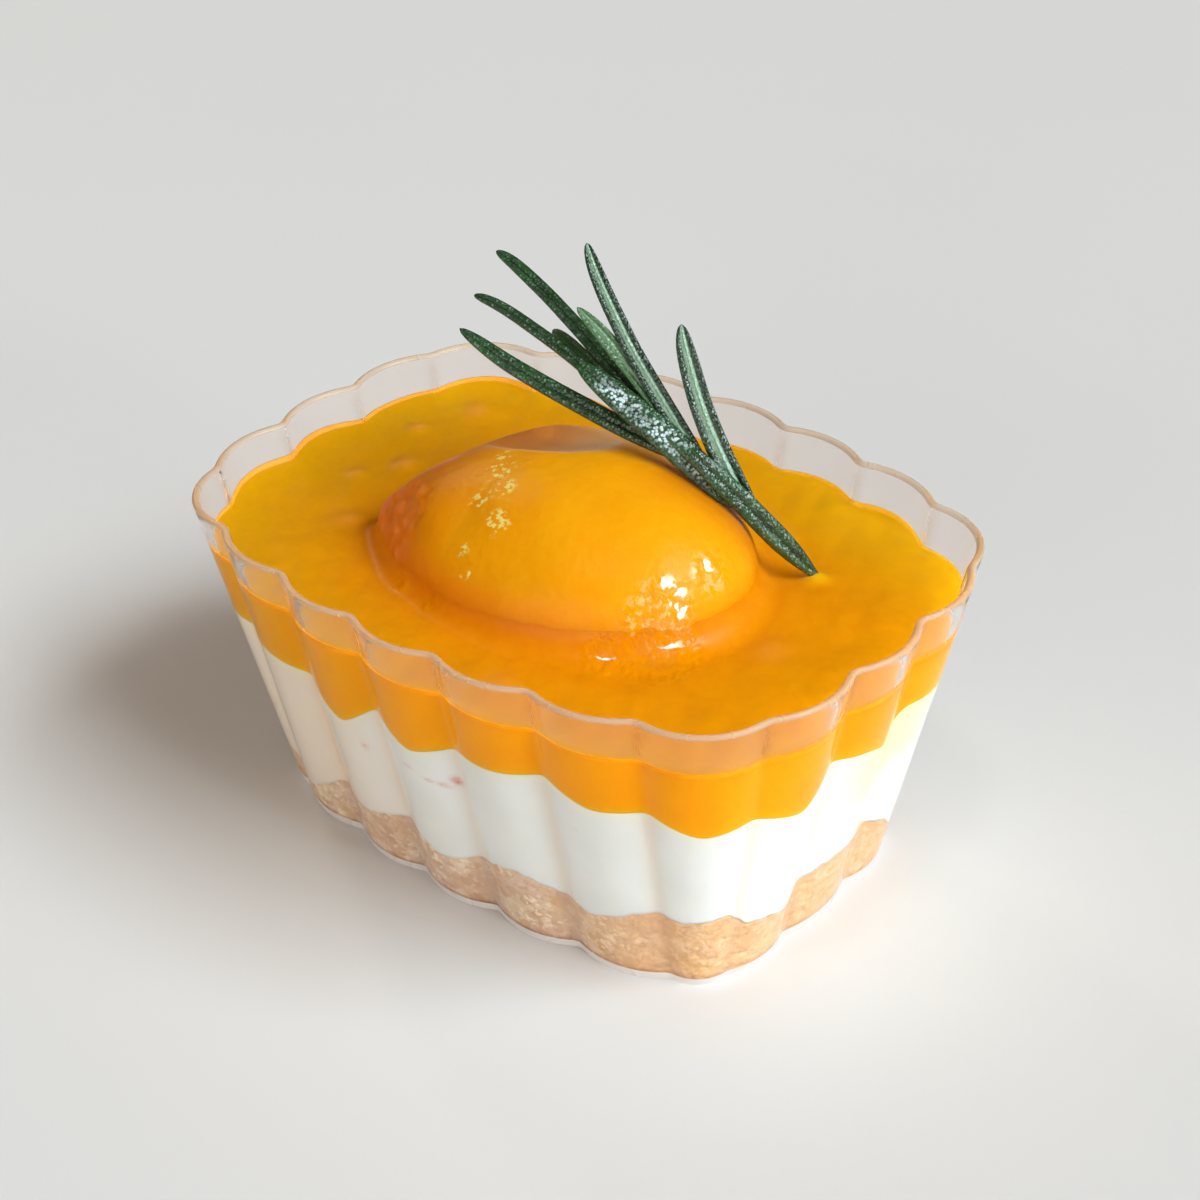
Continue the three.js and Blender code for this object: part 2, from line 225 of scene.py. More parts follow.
def groove_points(size):
    """Where flutes meet, anticlockwise: two grooves on half an end and three on half a side, mirrored.
    The bow lowers a groove by bow - sqrt(bow^2 - distance^2)."""
    def fall(bow, away):
        return bow - np.sqrt(bow * bow - away * away)

    ends = np.array(size.end_grooves)
    sides = np.array([2.5, 1.5, 0.5]) * size.side_pitch
    quarter = np.concatenate([
        np.stack([size.end_half - fall(size.end_bow, ends), ends], axis=-1),
        np.stack([sides, size.side_half - fall(size.side_bow, sides)], axis=-1)])
    half = np.concatenate([quarter, quarter[::-1] * (-1, 1)])
    return np.concatenate([half, -half])


def outline(size):
    """Arcs over each pair of grooves. An arc that bulges by d over a chord of 2h has the radius
    (h^2 + d^2) / 2d. The grooves are then rounded by a smoothing window that runs once round."""
    start = groove_points(size)
    chord = np.roll(start, -1, axis=0) - start
    half = np.linalg.norm(chord, axis=1) / 2
    along = chord / (2 * half[:, None])
    out = np.stack([along[:, 1], -along[:, 0]], axis=-1)
    bulges = [size.end_bulge, size.corner_bulge] + [size.side_bulge] * 5 + [size.corner_bulge]
    depth = np.array((bulges + [size.end_bulge] * 2) * 2)
    radius = (half ** 2 + depth ** 2) / (2 * depth)
    sweep = 2 * np.arctan2(depth, half)
    angle = sweep[:, None] * (2 * np.arange(FLUTE_STEPS) / FLUTE_STEPS - 1)
    forward = half[:, None] + radius[:, None] * np.sin(angle)
    away = radius[:, None] * (np.cos(angle) - 1) + depth[:, None]
    line = start[:, None] + along[:, None] * forward[..., None] + out[:, None] * away[..., None]
    return round_off(line.reshape(-1, 2), GROOVE_ROUND)


def round_off(line, width):
    """A closed line, or one number for each station, smoothed with a bell-shaped window of that width in
    millimetres. Its transform is exp(-2 (pi width pace)^2)."""
    pace = np.fft.fftfreq(len(line), d=STATION_PITCH)
    window = np.exp(-2 * (np.pi * width * pace) ** 2)
    return np.real(np.fft.ifft(np.fft.fft(line, axis=0) * window.reshape(-1, *[1] * (line.ndim - 1)), axis=0))


FOOT_LINE = outline(FOOT)
RIM_LINE = outline(RIM)
STATIONS = FLUTES * FLUTE_STEPS

# The place of each station, in flutes, and how far it is from the nearest groove, in millimetres.
PLACES = np.arange(STATIONS) / FLUTE_STEPS
FROM_GROOVE = np.abs(PLACES - np.round(PLACES)) * FLUTE_STEPS * STATION_PITCH


def ring(z, inset, share=1.0):
    """One turn of the wall, as points, at a height z and moved in from the outer face by inset. Both are
    numbers or one number for each station. share draws the turn in towards the axis."""
    lift = np.broadcast_to(np.asarray(z, dtype=float), STATIONS)[:, None]
    flat = FOOT_LINE + (RIM_LINE - FOOT_LINE) * lift / CUP.height
    along = np.roll(flat, -1, axis=0) - np.roll(flat, 1, axis=0)
    along /= np.linalg.norm(along, axis=1, keepdims=True)
    inwards = np.stack([-along[:, 1], along[:, 0]], axis=-1)
    flat = (flat + inwards * np.broadcast_to(inset, STATIONS)[:, None]) * share
    return np.concatenate([flat, lift], axis=-1)


def rings_at(heights, inset):
    """Turns of the wall at a row of heights, all moved in from the outer face by inset."""
    return np.array([ring(z, inset) for z in heights])


def around(turns, width):
    """Heights for all stations, eased through a few (place, height) pairs and rounded off."""
    places, heights = np.array(turns).T
    return round_off(np.interp(PLACES, places, heights, period=FLUTES), width)


# Shader helpers. A group is an effect that more than one material uses.

def add(tree, kind, inputs=None, **settings):
    """A node with its settings, and its inputs set to values or linked from sockets."""
    made = tree.nodes.new(kind)
    for key, value in settings.items():
        setattr(made, key, value)
    for key, value in (inputs or {}).items():
        if isinstance(value, bpy.types.NodeSocket):
            tree.links.new(value, made.inputs[key])
        else:
            made.inputs[key].default_value = value
    return made


def new_group(name, inputs, outputs):
    """An empty shader group of numbers whose inputs have usual values, and the sockets at its two ends."""
    tree = bpy.data.node_groups.new(name, "ShaderNodeTree")
    for key, value in inputs.items():
        socket = tree.interface.new_socket(name=key, in_out="INPUT", socket_type="NodeSocketFloat")
        socket.default_value = value
    for key in outputs:
        tree.interface.new_socket(name=key, in_out="OUTPUT", socket_type="NodeSocketFloat")
    return tree, add(tree, "NodeGroupInput").outputs, add(tree, "NodeGroupOutput").inputs


def use(tree, group, **inputs):
    """The outputs of a group placed in a material, with this material's own values."""
    return add(tree, "ShaderNodeGroup", inputs, node_tree=group).outputs


def soft_patches(tree, size, contrast, detail=2.0, seed=0.0):
    """The mask of the group of that name, with this material's own values."""
    return use(tree, GROUPS.mottle, Size=size, Contrast=contrast, Detail=detail, Seed=seed)["Mask"]


def mix(tree, factor, first, second):
    """The colour between two colours or sockets."""
    return add(tree, "ShaderNodeMix", {0: factor, 6: first, 7: second}, data_type="RGBA").outputs[2]


def maths(tree, operation, first, second=0.0, clamp=False):
    """The result of an operation on numbers or sockets."""
    return add(tree, "ShaderNodeMath", {0: first, 1: second}, operation=operation, use_clamp=clamp).outputs[0]


def times(tree, first, second):
    """The product of two numbers or sockets."""
    return maths(tree, "MULTIPLY", first, second)


def spread(tree, value, low, high, to_low=0.0, to_high=1.0, kind="SMOOTHSTEP"):
    """value moved from low..high to to_low..to_high, and eased unless kind says otherwise."""
    return add(tree, "ShaderNodeMapRange", {"Value": value, "From Min": low, "From Max": high,
               "To Min": to_low, "To Max": to_high}, interpolation_type=kind).outputs["Result"]


def value_of(tree, name):
    """The piece's own attribute of that name."""
    return add(tree, "ShaderNodeAttribute", attribute_name=name).outputs["Fac"]


def rgb(red, green, blue):
    """An sRGB colour of 0 to 255 as the linear colour that a shader takes."""
    parts = np.array([red, green, blue]) / 255
    linear = np.where(parts <= 0.04045, parts / 12.92, ((parts + 0.055) / 1.055) ** 2.4)
    return (*linear.tolist(), 1.0)


def lay(tree, base, mask, colour, share=None):
    """A colour laid over another one where a mask says, or the attribute of that name, as far as share."""
    if isinstance(mask, str):
        mask = value_of(tree, mask)
    if share is not None:
        mask = times(tree, mask, share)
    return mix(tree, mask, base, rgb(*colour))


def mottle_group():
    """Soft patches: noise of a size in millimetres, stretched by a contrast about one half."""
    usual = {"Size": 5.0, "Detail": 2.0, "Contrast": 2.0, "Seed": 0.0}
    tree, source, result = new_group("Soft patches", usual, ["Mask"])
    place = add(tree, "ShaderNodeTexCoord").outputs["Object"]
    pace = maths(tree, "DIVIDE", 1 / MM, source["Size"])
    noise = add(tree, "ShaderNodeTexNoise", {"Vector": place, "W": source["Seed"], "Scale": pace,
                "Detail": source["Detail"]}, noise_dimensions="4D").outputs["Fac"]
    strong = times(tree, maths(tree, "SUBTRACT", noise, 0.5), source["Contrast"])
    tree.links.new(maths(tree, "ADD", strong, 0.5, clamp=True), result["Mask"])
    return tree


def grain_group():
    """Fine grains: cells of a size in millimetres. Height is a dome on each cell, Tone a number for it."""
    tree, source, result = new_group("Fine grains", {"Size": 0.5}, ["Height", "Tone"])
    place = add(tree, "ShaderNodeTexCoord").outputs["Object"]
    pace = maths(tree, "DIVIDE", 1 / MM, source["Size"])
    cells = add(tree, "ShaderNodeTexVoronoi", {"Vector": place, "Scale": pace}).outputs
    tree.links.new(maths(tree, "SUBTRACT", 1.0, cells["Distance"], clamp=True), result["Height"])
    split = add(tree, "ShaderNodeSeparateColor", {"Color": cells["Color"]})
    tree.links.new(split.outputs["Red"], result["Tone"])
    return tree


def film_group():
    """A broken wet film where Cover says. Mask is where it lies, with torn edges, Height is its fine beads,
    for a bump, and the third output is painted glints: small bright dots on it."""
    tree, source, result = new_group("Broken film", {"Cover": 0.0}, ["Mask", "Height", "Glints"])
    cover = spread(tree, source["Cover"], 0.1, 0.45)
    tears = spread(tree, soft_patches(tree, 1.6, 6.0, seed=7.0), 0.0, 0.4)
    beads = soft_patches(tree, 0.75, 3.0, 1.0, 3.0)
    # Painted glints: the smallest, brightest dots.
    glints = spread(tree, soft_patches(tree, 0.7, 7.0, 3.0, 13.0), 0.7, 0.95)
    for name, value in (("Mask", tears), ("Height", beads), ("Glints", glints)):
        tree.links.new(times(tree, cover, value), result[name])
    return tree


GROUPS = SimpleNamespace()
GROUPS.mottle = mottle_group()
GROUPS.grain = grain_group()
GROUPS.film = film_group()


def new_material(name, **shader):
    """A material with its Principled shader's own sockets set by name, underscores for spaces."""
    made = bpy.data.materials.new(name)
    made.use_nodes = True
    tree = made.node_tree
    surface = tree.nodes["Principled BSDF"]
    for key, value in shader.items():
        surface.inputs[key.replace("_", " ")].default_value = value
    return made, tree, surface


def feed(tree, surface, **values):
    """Links values to the shader's sockets, named with underscores for spaces."""
    for key, value in values.items():
        tree.links.new(value, surface.inputs[key.replace("_", " ")])


def bump(tree, surface, height, strength, distance):
    """Relief of a height map, with distance in millimetres."""
    made = add(tree, "ShaderNodeBump", {"Height": height, "Strength": strength, "Distance": distance * MM})
    feed(tree, surface, Normal=made.outputs["Normal"])


def wet_film(tree, surface, low, high):
    """The film over wet flesh. Its surface is smooth where beads lie, and its coat grows from low to high."""
    beads = value_of(tree, "beads")
    film = use(tree, GROUPS.film, Cover=beads)
    feed(tree, surface, Roughness=spread(tree, beads, 0.1, 0.45, 0.38, 0.1),
         Coat_Weight=times(tree, film["Mask"], spread(tree, beads, low, high)))
    return film


def clear_plastic(name, tint, rough, transmission, bend):
    """Clear moulded plastic: a faint waviness left by the mould, roughness in soft patches, and in each groove
    a rougher line with a painted tan shade. Light on its way to a surface passes it unbent, as through any
    such thin wall."""
    made, tree, surface = new_material(name, IOR=bend, Transmission_Weight=transmission)
    path = add(tree, "ShaderNodeLightPath")
    open_shade = add(tree, "ShaderNodeBsdfTransparent", {"Color": (0.97, 0.94, 0.91, 1)})
    both = add(tree, "ShaderNodeMixShader", {0: path.outputs["Is Shadow Ray"], 1: surface.outputs[0],
               2: open_shade.outputs[0]})
    tree.links.new(both.outputs[0], tree.nodes["Material Output"].inputs["Surface"])
    cloud = soft_patches(tree, 9.0, 2.5)
    groove = value_of(tree, "groove")
    smooth = spread(tree, cloud, 0.0, 1.0, rough * 0.6, rough * 1.4)
    shade = [channel * 0.97 for channel in tint[:3]] + [1.0]
    # The groove mask makes the plastic rougher and lays a painted tan shade along each groove.
    feed(tree, surface, Roughness=maths(tree, "ADD", smooth, times(tree, groove, 0.25)),
         Base_Color=lay(tree, mix(tree, cloud, tint, shade), groove, (232, 206, 180), 0.4))
    bump(tree, surface, soft_patches(tree, 6.0, 1.0, seed=5.0), 0.15, 0.3)
    return made


def biscuit_material():
    """Buttery crumbs pressed to sand: each grain has its own tone, over toasted and rosy patches. They have a
    greyish painted shade at the grooves and a darker painted shade in the pits, and are more toasted at +X."""
    made, tree, surface = new_material("Biscuit crumb", Roughness=0.9, Specular_IOR_Level=0.0)
    grains = use(tree, GROUPS.grain, Size=1.3)
    fine = use(tree, GROUPS.grain, Size=0.6)
    tones = mix(tree, grains["Tone"], rgb(234, 212, 188), rgb(204, 172, 142))
    tones = lay(tree, tones, spread(tree, fine["Tone"], 0.55, 1.0, 0.0, 0.9), (246, 228, 204))
    tones = lay(tree, tones, soft_patches(tree, 4.0, 5.0), (214, 168, 118), 0.5)
    tones = lay(tree, tones, soft_patches(tree, 5.5, 4.0, seed=12.0), (198, 158, 142), 0.4)
    # Painted shade along each groove of the wall.
    tones = lay(tree, tones, "groove_shade", (190, 164, 150), 0.5)
    tones = lay(tree, tones, "toast", (228, 174, 114))
    # Painted shade in the pits between crumbs.
    tones = lay(tree, tones, spread(tree, value_of(tree, "pit"), 0.5, 0.9, 0.0, 0.4), (186, 142, 112))
    feed(tree, surface, Base_Color=tones)
    bump(tree, surface, maths(tree, "ADD", grains["Height"], times(tree, fine["Height"], 0.5)), 0.6, 0.2)
    return made


def cream_material():
    """Smooth cheese cream with a warm painted shade towards the -X end and at the grooves, a little yellow
    where puree has soaked in, with fine pores and a few red flecks of fruit."""
    made, tree, surface = new_material("Cheese cream", Roughness=0.5, Specular_IOR_Level=0.0,
                                       Subsurface_Weight=0.6, Subsurface_Scale=2 * MM,
                                       Subsurface_Radius=(1.0, 0.85, 0.6))
    base = mix(tree, soft_patches(tree, 8.0, 2.0), rgb(228, 230, 229), rgb(220, 222, 219))
    # A warm painted shade towards -X and along the grooves.
    base = lay(tree, base, "warm", (226, 204, 180))
    base = lay(tree, base, "soaked", (250, 240, 170))
    shreds = spread(tree, soft_patches(tree, 0.9, 4.0, seed=6.0), 0.0, 1.0, 0.45, 1.0)
    feed(tree, surface, Base_Color=lay(tree, base, "fleck", (206, 88, 56), shreds))
    bump(tree, surface, use(tree, GROUPS.grain, Size=0.8)["Height"], 0.12, 0.12)
    return made


def puree_material(name, gloss, ripe, deep):
    """Mango puree: two oranges in soft clouds with faint pulp, and a pink painted sheen on its lumps. It has a
    painted yellow glow near the wall, at the foot of the side and towards the back, and a real yellow film up
    the stem. It is a duller gold where it is thin near the wall, and painted shade darkens it towards -X, near
    the fruit, at the wall and at the top of the side. gloss is 0 where it is pressed against the plastic."""
    made, tree, surface = new_material(name, IOR=1.4, Specular_IOR_Level=gloss, Coat_Roughness=0.04,
                                       Coat_IOR=1.8, Subsurface_Weight=0.3, Subsurface_Scale=0.8 * MM,
                                       Subsurface_Radius=(1.0, 0.45, 0.1))
    base = mix(tree, soft_patches(tree, 7.0, 2.0, 3.0), ripe, deep)
    # Painted shade towards -X, and a duller gold where the puree is thin near the wall.
    base = lay(tree, base, "gold_and_shade", (210, 149, 0))
    # Painted shade near the fruit, at the wall and at the top of the side.
    base = lay(tree, base, "shade", (220, 118, 0))
    base = lay(tree, base, soft_patches(tree, 1.1, 3.0, 3.0, 8.0), (250, 176, 16), 0.12)
    # Painted yellow glow near the wall, at the side's foot and towards the back, and the real yellow film at
    # the stem.
    base = lay(tree, base, "thin_film_and_glow", (232, 184, 8))
    # Painted pink sheen on the lumps.
    base = lay(tree, base, "lump_sheen", (244, 150, 70))
    feed(tree, surface, Base_Color=base)
    film = wet_film(tree, surface, 0.62, 0.85)
    wave = soft_patches(tree, 3.0, 1.0, seed=2.0)
    bump(tree, surface, maths(tree, "ADD", wave, film["Height"]), 1.0, 0.08)
    return made


def fruit_material():
    """Glazed mango: bright orange flesh under a wet film that is broken into beads in places, with painted
    glints on the beads and in small patches. It is browner towards its foot, where the puree coats it and a
    painted shade lies, and has painted shade beside the stem and towards -X. It is salmon where it was sliced,
    orange at its torn corner with pink patches of painted sheen, and has a painted pink highlight along its
    ridge."""
    made, tree, surface = new_material("Glazed mango", IOR=1.4, Specular_IOR_Level=0.18, Coat_IOR=1.8,
                                       Coat_Roughness=0.04, Subsurface_Weight=0.5, Subsurface_Scale=2 * MM,
                                       Subsurface_Radius=(1.0, 0.5, 0.1))
    base = mix(tree, soft_patches(tree, 9.0, 2.0, 3.0), rgb(255, 170, 4), rgb(252, 158, 2))
    fibres = soft_patches(tree, 1.4, 3.0, 4.0, 4.0)
    base = lay(tree, base, fibres, (255, 196, 40), 0.1)
    # The puree's coat and a painted shade towards the foot.
    base = lay(tree, base, "foot_film_and_shade", (224, 121, 0))
    base = lay(tree, base, "sliced", (255, 182, 112))
    # Painted shade beside the stem and towards -X.
    base = lay(tree, base, "stem_and_side_shade", (200, 106, 4))
    # Torn flesh: orange, with pink patches of painted sheen.
    torn_flesh_and_sheen = lay(tree, rgb(236, 120, 4), soft_patches(tree, 1.6, 5.0, 3.0, 9.0), (255, 152, 86), 0.5)
    base = mix(tree, value_of(tree, "torn"), base, torn_flesh_and_sheen)
    # Painted pink highlight along the ridge and at the tip.
    base = lay(tree, base, "edge", (250, 140, 108))
    film = wet_film(tree, surface, 0.15, 0.5)
    # Painted glints on the beaded film.
    base = lay(tree, base, film["Glints"], (255, 236, 180), 0.3)
    # Painted glints in small patches.
    glint_spots = use(tree, GROUPS.film, Cover=value_of(tree, "glint_spots"))["Glints"]
    feed(tree, surface, Base_Color=lay(tree, base, glint_spots, (255, 228, 124)))
    bump(tree, surface, maths(tree, "ADD", film["Height"], times(tree, fibres, 0.45)), 1.0, 0.1)
    return made


def rosemary_material():
    """Rosemary: a dark, puckered, leathery upper face with a groove along it that is painted darker as shade,
    and a felted pale stripe under each leaf between its dark rolled edges. Leaves marked wet carry painted
    highlights: bright dots in two rows, and a bluish-white band along the middle of the wettest upper face."""
    made, tree, surface = new_material("Rosemary leaf", Roughness=0.13, Specular_IOR_Level=0.7)
    across = maths(tree, "ABSOLUTE", value_of(tree, "across"))
    upper = value_of(tree, "upper")
    wet = value_of(tree, "wet")
    pucker = use(tree, GROUPS.grain, Size=0.42)
    fine = use(tree, GROUPS.grain, Size=0.2)
    green = mix(tree, soft_patches(tree, 2.5, 3.0, 3.0), rgb(10, 38, 18), rgb(32, 76, 36))
    green = lay(tree, green, pucker["Tone"], (58, 108, 66), 0.4)
    # Painted shade along the groove of the upper face.
    green = lay(tree, green, spread(tree, across, 0.04, 0.18, 0.6, 0.0), (8, 30, 16))
    felt = mix(tree, fine["Tone"], rgb(170, 202, 176), rgb(120, 160, 128))
    under = lay(tree, felt, spread(tree, across, 0.26, 0.42), (16, 50, 24))
    under = lay(tree, under, spread(tree, across, 0.03, 0.09, 0.7, 0.0), (70, 108, 78))
    base = lay(tree, mix(tree, upper, under, green), "pale", (92, 136, 84))
    # Painted highlights: bright dots in two rows along the leaves marked wet.
    glint_rows = times(tree, spread(tree, across, 0.2, 0.4), spread(tree, across, 0.6, 0.85, 1.0, 0.0))
    beads = times(tree, spread(tree, pucker["Height"], 0.55, 0.75), spread(tree, pucker["Tone"], 0.4, 0.6))
    base = lay(tree, base, times(tree, glint_rows, beads), (176, 214, 196), times(tree, wet, 0.8))
    # A painted bluish-white highlight along the middle of the wettest leaf's upper face.
    middle = times(tree, spread(tree, across, 0.35, 0.75, 1.0, 0.0), spread(tree, wet, 0.6, 0.9))
    highlight_patches = spread(tree, soft_patches(tree, 3.5, 4.0, seed=3.0), 0.1, 0.7, 0.35, 1.0)
    shown = times(tree, spread(tree, pucker["Height"], 0.35, 0.6), highlight_patches)
    base = lay(tree, base, times(tree, middle, upper), (214, 236, 242), shown)
    feed(tree, surface, Base_Color=base)
    relief = maths(tree, "ADD", pucker["Height"], times(tree, fine["Height"], 0.25))
    bump(tree, surface, relief, 1.0, 0.11)
    return made


# The pieces.

# How far in from the wall's outer face the contents reach.
CONTACT = CUP.wall - BITE


def make_cup():
    """The wall as one closed skin: foot, outer face, a half-round lip, inner face and floor. Round edges are
    quarter and half circles in height and inset. groove is a bell across each groove, only between the puree
    and the lip, that makes the plastic rougher and carries a painted tan shade."""
    half = CUP.wall / 2
    turn = np.linspace(0, np.pi / 2, 7)
    foot = [(CUP.foot_round * (1 - math.cos(a)), CUP.foot_round * (1 - math.sin(a))) for a in turn]
    outer = [(z, 0.0) for z in np.linspace(CUP.foot_band, CUP.height - half, 26)]
    lip = [(CUP.height - half + half * math.sin(a), half - half * math.cos(a))
           for a in np.linspace(0, np.pi, 11)[1:]]
    corner = CUP.floor + CUP.inner_round
    inner = [(z, CUP.wall) for z in np.linspace(CUP.height - half, corner, 26)[1:]]
    inside = [(corner - CUP.inner_round * math.sin(a), CUP.wall + CUP.inner_round * (1 - math.cos(a)))
              for a in turn[1:]]
    shares = (0.25, 0.6, 0.85)
    rings = [ring(0.0, CUP.foot_round, share) for share in shares]
    rings += [ring(z, inset) for z, inset in foot + outer + lip + inner + inside]
    rings += [ring(CUP.floor, CUP.wall + CUP.inner_round, share) for share in shares[::-1]]
    rings = np.array(rings)
    height = rings[..., 2]
    free = ease(LEVEL - 1, LEVEL + 1, height) * ease(CUP.height - 0.4, CUP.height - 1.2, height)
    materials = [MATERIALS.plastic, MATERIALS.inside, MATERIALS.lip, MATERIALS.foot]
    cup = make_piece("cup_wall", materials, "clear_plastic", "cup",
                     (rings, {"groove": bell(FROM_GROOVE, 0.5) * free}))
    foot_end = len(shares) + len(foot)
    lip_start = foot_end + len(outer) - 1
    lip_end = lip_start + len(lip)
    paint_bands(cup, [(lip_end, len(rings) - 1, 1), (0, foot_end, 3), (lip_start, lip_end, 2)])


# Crumbs of three sizes: their share of the relief, their size and their seed.
CRUMBS = ((0.5, 2.1, 11.0), (0.32, 1.0, 4.0), (0.18, 0.55, 7.0))


def biscuit_relief(points):
    """Pits between the crumbs, from 0 on a crumb to about 1 in a pit."""
    return sum(share * cobbles(points, size, seed) for share, size, seed in CRUMBS)


def make_biscuit():
    """Crumbs pressed against the wall. Each point of the side lies between two turns of the wall a millimetre
    apart, as deep as its pit, and behind the edge of the cream at least a little deep. The pit also sets a
    painted shade in the material. toast grows towards +X, and a bell across each groove carries a painted
    shade."""
    top = around(CRUMB_TOP, 0.5)
    low = CUP.floor - 0.35
    heights = low + (top + 0.7 - low) * np.linspace(0, 1, 60)[:, None]
    flush, deeper = (finer(rings_at(heights, CONTACT + further)) for further in (0, 1))
    pit = biscuit_relief(flush)
    over_line = flush[..., 2] - finer(rings_at([top], CONTACT))[..., 2]
    depth = np.maximum(0.3 * ease(0.3, 1.0, pit), 0.08 * ease(-0.5, -0.2, over_line))
    side = flush + (deeper - flush) * depth[..., None]
    bottom = finer(np.array([ring(low, CONTACT + 1, part) for part in (0.3, 0.7, 0.98)]))
    crown = finer(np.array([ring(top + 1.0, CONTACT + 1.2, part) for part in (0.97, 0.7, 0.35)]))
    rings = np.concatenate([bottom, side, crown])
    values = {"pit": np.pad(pit, ((len(bottom), len(crown)), (0, 0))),
              "toast": 0.55 * ease(12, 34, rings[..., 0]),
              # A painted shade across each groove.
              "groove_shade": finer(np.tile(bell(FROM_GROOVE, 1.4), (len(rings), 1)))}
    make_piece("biscuit_bed", [MATERIALS.biscuit], "biscuit", "biscuit_base", (rings, values))


# Red flecks in the cream: place, height, half length in millimetres round the wall and up it, and strength.
FLECKS = ((13.72, 21.8, 0.5, 0.6, 0.5), (14.38, 23.2, 0.8, 0.35, 0.45), (14.62, 22.4, 0.9, 0.25, 0.45),
          (14.78, 22.3, 0.9, 0.35, 0.65), (14.93, 23.5, 0.8, 0.6, 1.0), (16.3, 24.4, 0.3, 0.3, 0.2))


def underside(low, deep, edge):
    """Rings under a layer: its hidden middle, lower by deep, and its rim, lower by edge."""
    return [ring(low - deep, CONTACT + 1.5, part) for part in (0.4, 0.8)] + [ring(low - edge, CONTACT + 0.5)]


def make_cream():
    """The cream: straight rows from the ragged line of the crumbs to the line of the puree. soaked fades down
    from the puree and fills the middle of the +X end, a warm painted shade grows towards -X and in each
    groove, and a fleck is a bell about its place."""
    low = around(CRUMB_TOP, 0.5)
    edge = ring(low, CONTACT)
    low = low + 0.2 * wobble(edge, 2.6, 31) + 0.08 * wobble(edge, 1.1, 32)
    top = around(CREAM_TOP, 0.9)
    side = rings_at(low + (top - low) * np.linspace(0, 1, 60)[:, None], CONTACT)
    crown = [ring(top + 0.15, CONTACT + 0.4), ring(top, CONTACT + 1.0, 0.7), ring(top, CONTACT + 1.0, 0.35)]
    rings = np.concatenate([underside(low, 0.4, 0.2), side, crown])
    down = np.maximum(top - rings[..., 2], 0)
    from_end = np.minimum(PLACES, FLUTES - PLACES)
    soaked = 0.3 * np.exp(-down / 0.8) + 0.75 * ease(1.0, 0.25, from_end) * ease(13, 6, down)
    # Painted shade: warmer towards -X and in the grooves.
    warm = 0.65 * ease(4, -22, rings[..., 0]) + 0.4 * bell(FROM_GROOVE, 1.2)
    fleck = np.zeros(down.shape)
    for at, height, long, tall, strength in FLECKS:
        away = (PLACES - at) * FLUTE_STEPS * STATION_PITCH / long
        fleck = np.maximum(fleck, strength * np.exp(-away ** 2 - ((rings[..., 2] - height) / tall) ** 2))
    values = {"soaked": np.clip(soaked, 0, 1), "fleck": fleck, "warm": warm}
    make_piece("cheese_cream", [MATERIALS.cream], "cream", "cream_layer", (rings, values))


def fruit_turn():
    """The matrix that turns the fruit's own axes into the part's: the pitch about Y, then the yaw about Z."""
    pitch, yaw = math.radians(-FRUIT.pitch), math.radians(FRUIT.yaw)
    return np.array(Matrix.Rotation(yaw, 3, "Z") @ Matrix.Rotation(pitch, 3, "Y"))


def reach_to_cut(directions, cut):
    """How far the plane of a cut is from the fruit's centre along unit directions."""
    through, facing, _ = cut
    out = np.array(facing) / np.linalg.norm(facing)
    return (through - FRUIT.centre) @ out / np.maximum(directions @ out, 1e-6)


def fruit_reach(directions, cuts):
    """How far the fruit reaches from its centre along unit directions. The dome is a superellipsoid whose
    power rises from 2 to 2 + squareness at its -X end. Dome and cuts meet in a soft least of their reaches:
    the sum of each reach to the power -k, to the power -1/k."""
    own = directions @ fruit_turn()
    stretched = own / FRUIT.half
    length = np.linalg.norm(stretched, axis=-1)
    ball = stretched / length[..., None]
    power = 2 + FRUIT.squareness * np.maximum(0, -ball[..., 0])
    total = (np.abs(ball) ** power[..., None]).sum(-1)
    reach = total ** (-1 / power) / length
    for cut in cuts:
        crisp = cut[2]
        plane = reach_to_cut(directions, cut)
        least = np.minimum(reach, plane)
        reach = least * ((reach / least) ** -crisp + (plane / least) ** -crisp) ** (-1 / crisp)
    return reach


def fruit_skin(directions, cuts):
    """The fruit's reach with its soft dents."""
    reach = fruit_reach(directions, cuts)
    return reach + 0.14 * wobble(FRUIT.centre + directions * reach[..., None], 9, 6)


def shaded_foot(angle):
    """How much painted shade the fruit and the puree get where they meet, in each direction: most on the front
    left.
    """
    return 0.5 + 0.5 * np.clip(np.cos(angle - np.arctan2(-1, -0.45)), 0, 1)


def on_cut(directions, reach, cut, near):
    """1 where the fruit's skin lies on a cut and 0 where it is further inside, as a share of its reach."""
    return ease(1 + near, 1 + near / 4, reach_to_cut(directions, cut) / reach)


# How deep the sliced face is hollowed, in heights of what was sliced off.
SCOOP = 1.5
# The ridge from the torn corner up to the sliced face, where a pink highlight is painted.
RIDGE = ((-24.6, -11.2, 42.6), (-17.5, -4.2, 48.8))
# Where the wet film on the fruit is broken into beads: a point on its skin, the patch's size and strength.
BEAD_PATCHES = (((20.8, -9.2, 44.4), 3.2, 1.0), ((22.3, -2.4, 46.0), 2.8, 0.6),
                ((20.1, -11.1, 43.1), 3.0, 1.0), ((21.2, -10.6, 40.0), 3.4, 1.0))
# The same where only painted glints show, as small bright dots.
GLINT_PATCHES = (((-7.7, -5.9, 51.0), 2.0, 0.7), ((-9.6, -2.9, 51.1), 1.5, 0.5),
                 ((-4.5, -8.5, 50.6), 1.6, 0.6), ((-1.8, -13.0, 49.2), 1.9, 0.7),
                 ((-6.7, -10.8, 49.5), 1.7, 0.6), ((-4.6, -16.6, 46.0), 1.2, 0.5),
                 ((-2.8, -18.2, 44.2), 0.8, 1.0))
